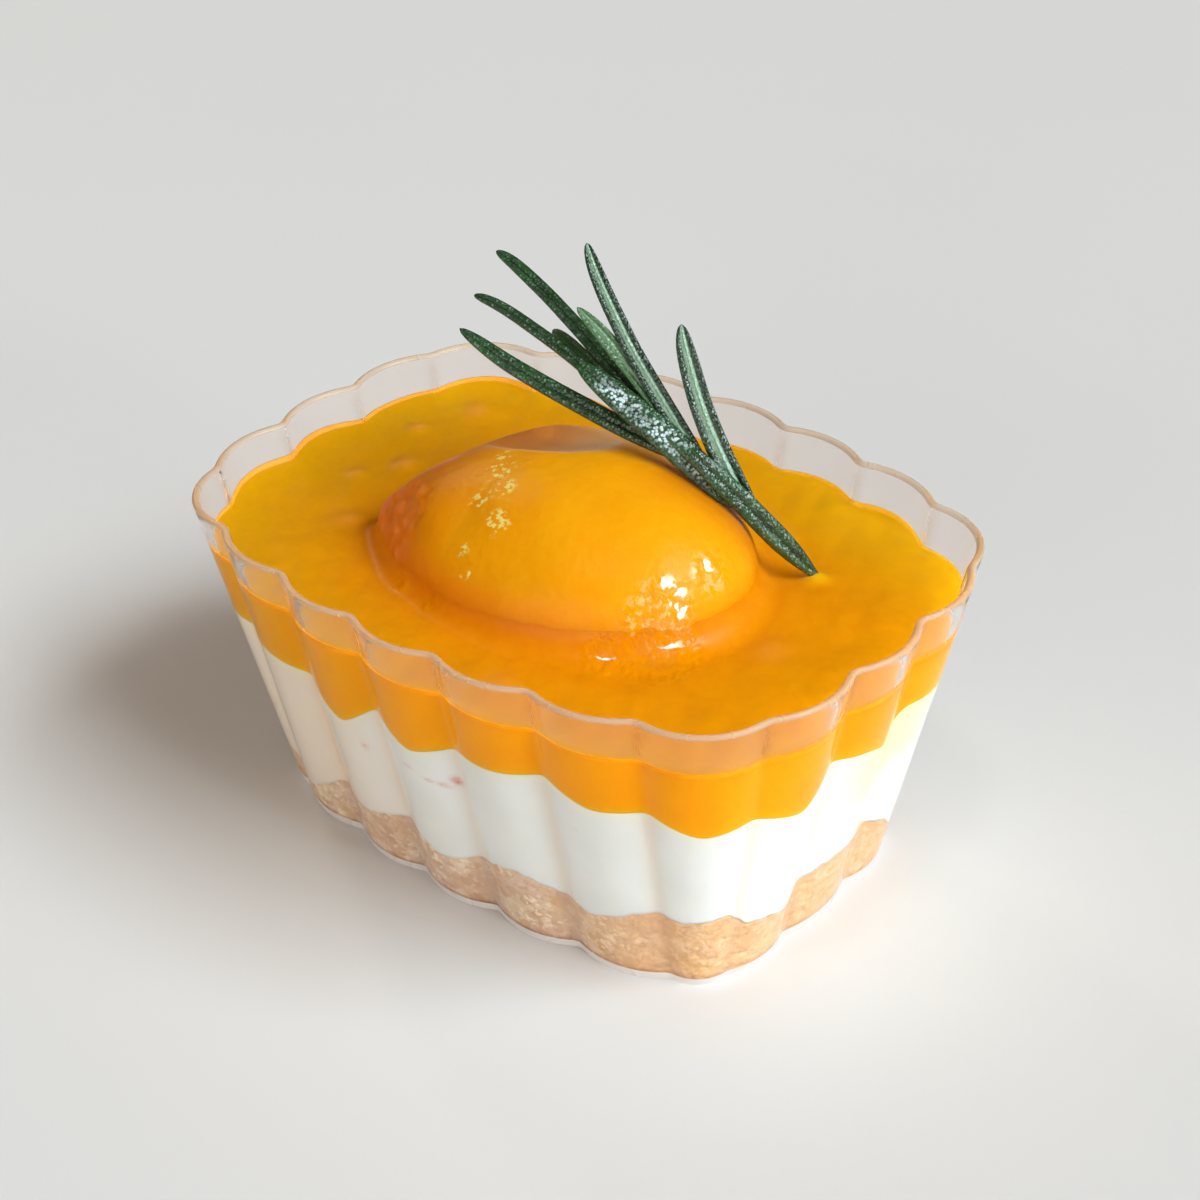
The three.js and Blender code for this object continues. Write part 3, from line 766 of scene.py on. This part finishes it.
# The film on the puree round it.
WET_PATCHES = (((21.5, -11.5, 39.5), 5.0, 1.0), ((17.0, -15.5, 38.8), 3.0, 0.9),
               ((-13.2, -18.9, 38.8), 1.2, 0.8), ((-6.5, -20.0, 39.0), 1.5, 0.8))


def patch_mask(points, patches):
    """The strongest of the patches at each point. Each is a bell about its spot."""
    mask = np.zeros(points.shape[:-1])
    for spot, size, strength in patches:
        mask = np.maximum(mask, strength * bell(np.linalg.norm(points - spot, axis=-1), size))
    return mask


def away_from_line(points, ends):
    """How far points lie from a straight line between two ends."""
    start, end = np.array(ends)
    along = end - start
    share = np.clip((points - start) @ along / (along @ along), 0, 1)
    return np.linalg.norm(points - start - share[..., None] * along, axis=-1)


def make_fruit():
    """The dome over a grid of latitude and longitude, finest where it shows, with soft dents, a torn corner
    and a film of glaze that stands in low waves in its wet patches. The sliced face is hollowed by SCOOP."""
    across = 420
    turn = np.arange(across) / across * 2 * np.pi
    tilt = np.concatenate([np.linspace(-0.49 * np.pi, -0.05, 24), np.linspace(0, 0.497 * np.pi, 200)])
    flat = np.stack([np.cos(turn), np.sin(turn), np.zeros(across)], axis=-1)
    directions = flat * np.cos(tilt)[:, None, None] + np.array([0, 0, 1]) * np.sin(tilt)[:, None, None]
    reach = fruit_reach(directions, ALL_CUTS)
    points = FRUIT.centre + directions * reach[..., None]
    height = points[..., 2]
    rough = (FRUIT_CUTS.facet, FRUIT_CUTS.corner)
    torn = np.maximum(*(on_cut(directions, reach, cut, 0.08) for cut in rough))
    torn = torn * (0.6 + 0.3 * wobble(points, 4, 12)) * ease(-12, -16, points[..., 0])
    uncut = [cut for cut in ALL_CUTS if cut is not FRUIT_CUTS.slice]
    taken = fruit_reach(directions, uncut) / reach - 1
    tip = np.linalg.norm(points - RIDGE[0], axis=-1)
    # Painted shadow of the stem on the fruit.
    stem_shadow = 0.95 * bell(away_from_line(points, (STEM_PATH[1], STEM_PATH[3])), 5.0)
    beads = patch_mask(points, BEAD_PATCHES)
    above = ease(LEVEL + 1.2, LEVEL + 3.2, height)
    relief = fruit_skin(directions, ALL_CUTS) - reach
    relief += 0.012 * wobble(points, 2.4, 7)
    relief += ease(0.1, 0.5, beads) * above * (0.1 * wobble(points, 3.2, 8) + 0.022 * wobble(points, 1.2, 10))
    relief += torn * above * 0.22 * wobble(points, 1.6, 9)
    relief -= SCOOP * taken * reach
    values = {"torn": torn, "sliced": ease(0.002, 0.01, taken),
              # A painted pink highlight along the ridge and at its tip.
              "edge": np.maximum(bell(away_from_line(points, RIDGE), 1.1), bell(tip, 1.6)), "beads": beads,
              # The puree's coat and a painted shade at the foot.
              "foot_film_and_shade": shaded_foot(turn) * ease(LEVEL + 6.5, LEVEL + 1.2, height),
              # Painted shade beside the stem and towards -X.
              "stem_and_side_shade": np.maximum(stem_shadow, 0.9 * ease(-5, -20, points[..., 0])),
              # Where painted glints show.
              "glint_spots": patch_mask(points, GLINT_PATCHES)}
    rings = points + directions * relief[..., None]
    make_piece("mango_cheek", [MATERIALS.fruit], "fruit", "mango_piece", (rings, values))


def shoreline(angles, height):
    """How far from the fruit's centre line its skin stands at a height, in each direction. It starts from a
    guess and steps to the skin along the ray from the centre, until the point lies on both."""
    lift = np.broadcast_to(height - FRUIT.centre[2], angles.shape)
    sides = (FRUIT_CUTS.end, FRUIT_CUTS.slope, FRUIT_CUTS.corner, FRUIT_CUTS.facet)
    far = np.full(angles.shape, 20.0)
    for _ in range(14):
        rays = np.stack([far * np.cos(angles), far * np.sin(angles), lift], axis=-1)
        length = np.linalg.norm(rays, axis=-1)
        reach = fruit_skin(rays / length[..., None], sides)
        far = far * reach / length
    return far


# Lumps of pulp that lift the top of the puree: x, y, width and rise.
PUREE_LUMPS = ((-33.8, 3.5, 1.9, 0.55), (-39.1, 11.6, 1.5, 0.6), (-29.5, -11.3, 2.0, 0.35),
               (-37, -2.4, 1.3, 0.4), (-36, 20, 2.6, 0.4), (31, -2, 4, 0.2), (10, -27, 4, 0.2))
# Where the stem stands in the puree, which creeps up it in a thin yellow film.
STEM_FOOT = (25.7, 14.5)


def touching_arc(angle, radius):
    """Where an arc that leaves the puree's level upwards touches the fruit, in each direction: the distance
    from the centre line, the height over the level and the steepness. The height of the arc there, which is
    radius (1 - cos steepness), is the skin's own."""
    rises = np.linspace(0.05, 5.0, 56)
    skin = np.array([shoreline(angle, LEVEL + rise) for rise in rises])
    steep = np.arctan2((rises[1] - rises[0]), -np.gradient(skin, axis=0))
    over = radius * (1 - np.cos(steep)) - rises[:, None]
    after = np.clip(np.argmax(over < 0, axis=0), 1, len(rises) - 1)
    each = np.arange(len(angle))
    part = np.clip(over[after - 1, each] / (over[after - 1, each] - over[after, each]), 0, 1)
    return [values[after - 1, each] * (1 - part) + values[after, each] * part
            for values in (skin, np.broadcast_to(rises[:, None], skin.shape), steep)]


def make_puree():
    """The puree: a side against the wall and a top that creeps up the wall and the fruit. Over its level the
    top is a rise at the wall that falls off as exp(-distance / reach), low bumps, bells for the lumps and at
    the stem, and an arc that leaves the level and touches the fruit."""
    low = around(CREAM_TOP, 0.9)
    high = around(PUREE_TOP, 2.0)
    shares = np.concatenate([[0, 0.01], np.linspace(0.04, 1, 13)])
    side = rings_at([low + (high - low) * share for share in shares], CONTACT)
    edge = side[-1]
    middle = FRUIT.centre[:2]
    angle = np.arctan2(edge[:, 1] - middle[1], edge[:, 0] - middle[0])
    fillet = 3.2 + 1.6 * bell(angle - math.radians(-35), 0.6)
    fillet -= 1.2 * bell(np.abs(angle) - math.pi, 0.9)
    touch, climb, steep = touching_arc(angle, fillet)
    outwards = np.stack([np.cos(angle), np.sin(angle)], axis=-1)
    way = middle + touch[:, None] * outwards - edge[:, :2]
    span = np.linalg.norm(way, axis=1)
    share = np.linspace(0, 1, 79)[1:]
    share = 0.5 * share + 0.5 * ease(0, 1, share)
    flat = edge[:, :2] + way * share[:, None, None]
    from_wall = share[:, None] * span
    from_fruit = (1 - share[:, None]) * span
    from_stem = np.hypot(flat[..., 0] - STEM_FOOT[0], flat[..., 1] - STEM_FOOT[1])
    spots = np.pad(flat, ((0, 0), (0, 0), (0, 1)))
    bumps = 0.16 * wobble(spots, 11, 21) + 0.06 * wobble(spots, 4, 22)
    height = LEVEL + (edge[:, 2] - LEVEL) * np.exp(-from_wall / 2.2) * ease(0, 3, from_fruit)
    height += bumps * ease(0, 2, from_wall) * ease(0, 4, from_fruit)
    beside = np.clip(fillet * np.sin(steep) - from_fruit, 0, None)
    height += fillet - np.sqrt(fillet ** 2 - beside ** 2)
    # A painted pink sheen on each lump.
    lump_sheen = np.zeros(height.shape)
    for x, y, size, rise in PUREE_LUMPS:
        gap = np.hypot(flat[..., 0] - x, flat[..., 1] - y)
        height += rise * bell(gap, size)
        lump_sheen = np.maximum(lump_sheen, rise * bell(gap, 0.5 * size))
    height += 0.8 * bell(from_stem, 1.4)
    top = [*np.concatenate([flat, height[..., None]], axis=-1)]
    tucks = ((0.25, 0.03), (0.5, 0.12), (0.75, 0.3))
    for further, inset in tucks:
        lift = LEVEL + climb + further
        skin = shoreline(angle, lift) - inset
        top.append(np.concatenate([middle + skin[:, None] * outwards, lift[:, None]], axis=-1))
    inner = top[-1] * (0.5, 0.5, 1) + np.array([middle[0], middle[1], -3.0]) * (0.5, 0.5, 1)
    bottom = underside(low, 0.3, 0.1)
    rings = np.concatenate([bottom, side, top, inner[None]])

    def whole(on_side, on_top):
        """Values for all rings, from those of the side and of the top. The hidden rings get 0, and the tucked
        ones repeat the last of the top."""
        tucked = np.pad(on_top, ((0, len(tucks)), (0, 0)), mode="edge")
        shown = np.concatenate([np.broadcast_to(on_side, side.shape[:2]), tucked])
        return np.pad(shown, ((len(bottom), 1), (0, 0)))

    beads = patch_mask(rings, WET_PATCHES)
    wet = ease(0.1, 0.5, beads) * ease(LEVEL + 1.8, LEVEL + 0.8, rings[..., 2])
    # Painted shade towards -X, and a duller gold where the puree is thin near the wall.
    gold_and_shade = whole(0.15, 0.8 * np.exp(-from_wall / 6.0))
    # A painted yellow glow at the foot of the side, near the wall and towards the back, and the real yellow
    # film up the stem.
    thin_film_and_glow = whole(0.6 * np.exp(-(side[..., 2] - low) / 0.5),
                 0.1 * np.exp(-from_wall / 1.2) + 0.8 * bell(from_stem, 1.5))
    # Painted shade at the top of the side, near the fruit and at the wall.
    shade = whole(0.6 * np.exp(-(high - side[..., 2]) / 0.7),
                  np.maximum(np.exp(-from_fruit / 5.0) * shaded_foot(angle), 0.5 * bell(from_wall, 0.6)))
    values = {"thin_film_and_glow": thin_film_and_glow + 0.45 * ease(10, 30, rings[..., 1]) * ease(-15, 20, rings[..., 0]),
              "gold_and_shade": np.clip(gold_and_shade + 0.6 * ease(15, -42, rings[..., 0]), 0, 1),
              "shade": shade, "lump_sheen": whole(0.0, lump_sheen), "beads": beads}
    rings[..., 2] += wet * (0.06 * wobble(rings, 2.4, 23) + 0.015 * wobble(rings, 1.0, 24))
    sauce = make_piece("mango_sauce", [MATERIALS.puree, MATERIALS.puree_side], "puree", "mango_puree",
                       (rings, values))
    paint_bands(sauce, [(0, len(bottom) + len(side) - 1, 1)])


def curve_points(path, share):
    """A smooth line through the path's points: a cubic between each two, whose slopes follow the points on
    either side, at shares of the whole from 0 to 1."""
    path = np.array(path)
    padded = np.concatenate([2 * path[:1] - path[1:2], path, 2 * path[-1:] - path[-2:-1]])
    place = np.clip(share, 0, 1) * (len(path) - 1)
    leg = np.minimum(place.astype(int), len(path) - 2)
    t = (place - leg)[:, None]
    before, start, end, after = (padded[leg + step] for step in range(4))
    return 0.5 * (2 * start + (end - before) * t + (2 * before - 5 * start + 4 * end - after) * t ** 2
                  + (3 * start - before - 3 * end + after) * t ** 3)


def frame_along(line, upper):
    """Unit vectors across and up at each point of a line, with up turned towards the upper side."""
    along = np.gradient(line, axis=0)
    along /= np.linalg.norm(along, axis=1, keepdims=True)
    across = np.cross(upper, along)
    across /= np.linalg.norm(across, axis=1, keepdims=True)
    return across, np.cross(along, across)


def leaf_section():
    """A section of a leaf, x from -1 to 1 and height: a domed upper face with a groove along its middle,
    and a hollow under side with a rib between two rolled edges. upper is 1 on the upper face."""
    count = 20
    sweep = np.linspace(0, np.pi, count)
    x = -np.cos(sweep)
    dome = np.sin(sweep) ** 0.8
    over = dome - 0.42 * bell(x, 0.2)
    under = -0.55 * dome + 0.75 * bell(np.abs(x) - 0.3, 0.2) * dome
    under -= 0.25 * bell(x, 0.12)
    xs = np.concatenate([x, x[::-1][1:-1]])
    heights = np.concatenate([over, under[::-1][1:-1]])
    upper = np.concatenate([np.ones(count), np.zeros(count - 2)])
    return -xs, heights, upper


def make_leaf(leaf):
    """Rings of a leaf along its bent middle line, and their values. Its half width swells as a flattened
    arch that leans to the base, and it twists a little by low noise."""
    rows = 70
    root = curve_points(STEM_PATH, np.array([leaf.at]))[0]
    share = np.linspace(0, 1, rows)
    bend, tip = np.array(leaf.bend), np.array(leaf.tip)
    t = share[:, None]
    line = root * (1 - t) ** 2 + 2 * bend * t * (1 - t) + tip * t ** 2
    line = line + 0.12 * np.stack([wobble(line, 9, seed) for seed in (41, 42, 43)], axis=-1) * t
    across, up = frame_along(line, leaf.upper)
    x, heights, upper = leaf_section()
    arch = np.clip(1 - (2 * share - 1) ** 4, 0, 1) ** np.where(share < 0.5, leaf.slim, 0.5)
    swell = np.maximum(0.8 * arch + 0.2 * (1 - share) * ease(0, 0.05, share + 0.02), 0.05)
    half = swell * leaf.width / 2
    thick = np.minimum(swell * 1.3, 1) * swell ** 0.3 / 2
    rings = line[:, None] + across[:, None] * (x[:, None] * half[:, None, None])
    rings = rings + up[:, None] * (heights[:, None] * thick[:, None, None])
    # How strongly each row carries painted highlights.
    wet = leaf.wet * ease(-0.1, 0.25, share) * ease(1.1, 0.75, share)
    size = rings.shape[:2]
    return rings, {"across": np.broadcast_to(x, size), "upper": np.broadcast_to(upper, size),
                   "wet": np.broadcast_to(wet[:, None], size), "pale": np.full(size, leaf.pale)}


def make_rosemary():
    """The stem, a tube that thins to its foot and tip, and its leaves, each a closed skin, in one mesh."""
    share = np.linspace(0, 1, 60)
    line = curve_points(STEM_PATH, share)
    across, up = frame_along(line, FRONT)
    turn = np.arange(16) / 16 * 2 * np.pi
    radius = STEM_RADIUS * (1 + 0.06 * wobble(line, 2, 51)) * (1 - 0.2 * share)
    radius = radius * (0.3 + 0.7 * ease(0, 0.3, share))
    offsets = across[:, None] * np.cos(turn)[:, None] + up[:, None] * np.sin(turn)[:, None]
    stem = line[:, None] + offsets * radius[:, None, None]
    # The stem's values, wet among them for its painted highlights.
    looks = {"across": 0.5, "upper": 0.7, "wet": 0.3, "pale": 0.2}
    values = {key: np.full(stem.shape[:2], value) for key, value in looks.items()}
    make_piece("rosemary", [MATERIALS.rosemary], "herb", "rosemary_sprig", (stem, values),
               *[make_leaf(leaf) for leaf in LEAVES])


MATERIALS = SimpleNamespace(
    plastic=clear_plastic("Clear plastic", rgb(253, 252, 251), 0.02, 1.0, 1.16),
    inside=clear_plastic("Clear plastic inside", rgb(252, 241, 233), 0.06, 0.93, 1.16),
    lip=clear_plastic("Plastic lip", rgb(224, 200, 174), 0.25, 0.45, 1.3),
    foot=clear_plastic("Plastic foot", rgb(244, 236, 232), 0.3, 0.08, 1.3),
    biscuit=biscuit_material(),
    cream=cream_material(),
    puree=puree_material("Mango puree", 0.18, rgb(239, 149, 1), rgb(227, 137, 0)),
    # Against the wall the puree has lighter oranges than on top: painted light.
    puree_side=puree_material("Mango puree on the wall, painted lighter", 0.0, rgb(251, 160, 2), rgb(244, 150, 0)),
    fruit=fruit_material(),
    rosemary=rosemary_material())

make_cup()
make_biscuit()
make_cream()
make_puree()
make_fruit()
make_rosemary()


# Floor, lights and camera.

# Half the side of the floor, in metres.
FLOOR_HALF = 6.0


def make_floor():
    """A wide pale sheet with a very faint mottle."""
    corners = [(FLOOR_HALF * x, FLOOR_HALF * y, 0) for x, y in ((-1, -1), (1, -1), (1, 1), (-1, 1))]
    mesh = bpy.data.meshes.new("pale_floor")
    mesh.from_pydata(corners, [], [(0, 1, 2, 3)])
    made, tree, surface = new_material("Pale table", Roughness=0.6, Specular_IOR_Level=0.2)
    mottle = soft_patches(tree, 60.0, 1.0)
    feed(tree, surface, Base_Color=mix(tree, mottle, rgb(231, 229, 228), rgb(229, 227, 226)))
    mesh.materials.append(made)
    floor = put_in_scene("pale_floor", mesh)


def direction(azimuth, elevation):
    """The unit vector towards an azimuth from +X and an elevation, both in degrees."""
    a, e = math.radians(azimuth), math.radians(elevation)
    return Vector((math.cos(e) * math.cos(a), math.cos(e) * math.sin(a), math.sin(e)))


def add_light(name, azimuth, elevation, distance, size, power, colour):
    """A soft light, so wide and so high, that looks at the cup from a distance. All are in metres."""
    data = bpy.data.lights.new(name, "AREA")
    data.shape = "RECTANGLE"
    data.size, data.size_y = size
    data.energy = power
    data.color = colour
    light = put_in_scene(name, data)
    way = direction(azimuth, elevation)
    light.location = Vector((0, 0, 0.03)) + way * distance
    light.rotation_euler = way.to_track_quat("Z", "Y").to_euler()


def make_world(bright_side, dim, bright, dim_colour, bright_colour):
    """A room that is brighter on one side. The share of that side is (1 + cosine) / 2 of the angle to it, to
    the power 1.6."""
    world = bpy.data.worlds.new("Soft room")
    world.use_nodes = True
    bpy.context.scene.world = world
    tree = world.node_tree
    way = add(tree, "ShaderNodeTexCoord").outputs["Generated"]
    side = Vector(bright_side).normalized()
    cosine = add(tree, "ShaderNodeVectorMath", {0: way, 1: side}, operation="DOT_PRODUCT").outputs["Value"]
    share = maths(tree, "POWER", spread(tree, cosine, -1.0, 1.0, kind="LINEAR"), 1.6)
    feed(tree, tree.nodes["Background"], Color=mix(tree, share, (*dim_colour, 1), (*bright_colour, 1)),
         Strength=spread(tree, share, 0.0, 1.0, dim, bright, "LINEAR"))


# The photograph's viewpoint, in degrees and millimetres, and its lens on a sensor 36 mm wide.
CAMERA = SimpleNamespace(azimuth=40.5, elevation=32.98, roll=-1.06, distance=310.44, right=2.47, up=-10.68,
                         lens=74.92, sensor=36.0)


def make_camera():
    """Where the lens stood, the way it looks and its roll. It stands back from the middle of the rim and is
    moved a little along its own right and up."""
    turns = (CAMERA.azimuth, CAMERA.elevation, CAMERA.roll)
    azimuth, elevation, roll = (math.radians(turn) for turn in turns)
    right = Vector((math.cos(azimuth), math.sin(azimuth), 0))
    back = Vector((math.sin(azimuth), -math.cos(azimuth), 0)) * math.cos(elevation)
    back = (back + Vector((0, 0, math.sin(elevation)))).normalized()
    up = back.cross(right)
    level = right * math.cos(roll) + up * math.sin(roll)
    up = up * math.cos(roll) - right * math.sin(roll)
    place = Vector((0, 0, CUP.height)) + back * CAMERA.distance + level * CAMERA.right + up * CAMERA.up
    data = bpy.data.cameras.new("Camera")
    data.sensor_width = CAMERA.sensor
    data.lens = CAMERA.lens
    data.clip_start = 0.01
    camera = put_in_scene("Camera", data)
    turn = Matrix((level, up, back)).transposed().to_4x4()
    camera.matrix_world = Matrix.Translation(place * MM) @ turn
    bpy.context.scene.camera = camera


make_floor()
make_world((0.6, -0.3, 0.6), 0.04, 0.24, (1.0, 0.45, 0.18), (1.0, 0.8, 0.55))
add_light("Window", 14, 43, 8.0, (5.4, 3.1), 680.0, (0.83, 0.94, 1.0))
add_light("Window_pane", -5, 15, 8.0, (1.5, 1.25), 100.0, (0.9, 0.97, 1.0))
add_light("Top_pane", -78, 70, 2.0, (0.2, 0.18), 2.6, (0.86, 0.95, 1.0))
add_light("Fill", -84, 13, 8.0, (7.6, 3.0), 185.0, (0.97, 0.98, 0.94))
add_light("Far_window", 160, 33, 1.5, (0.14, 0.1), 1.6, (1.0, 0.9, 0.75))
make_camera()
bpy.context.scene.view_settings.view_transform = "Standard"
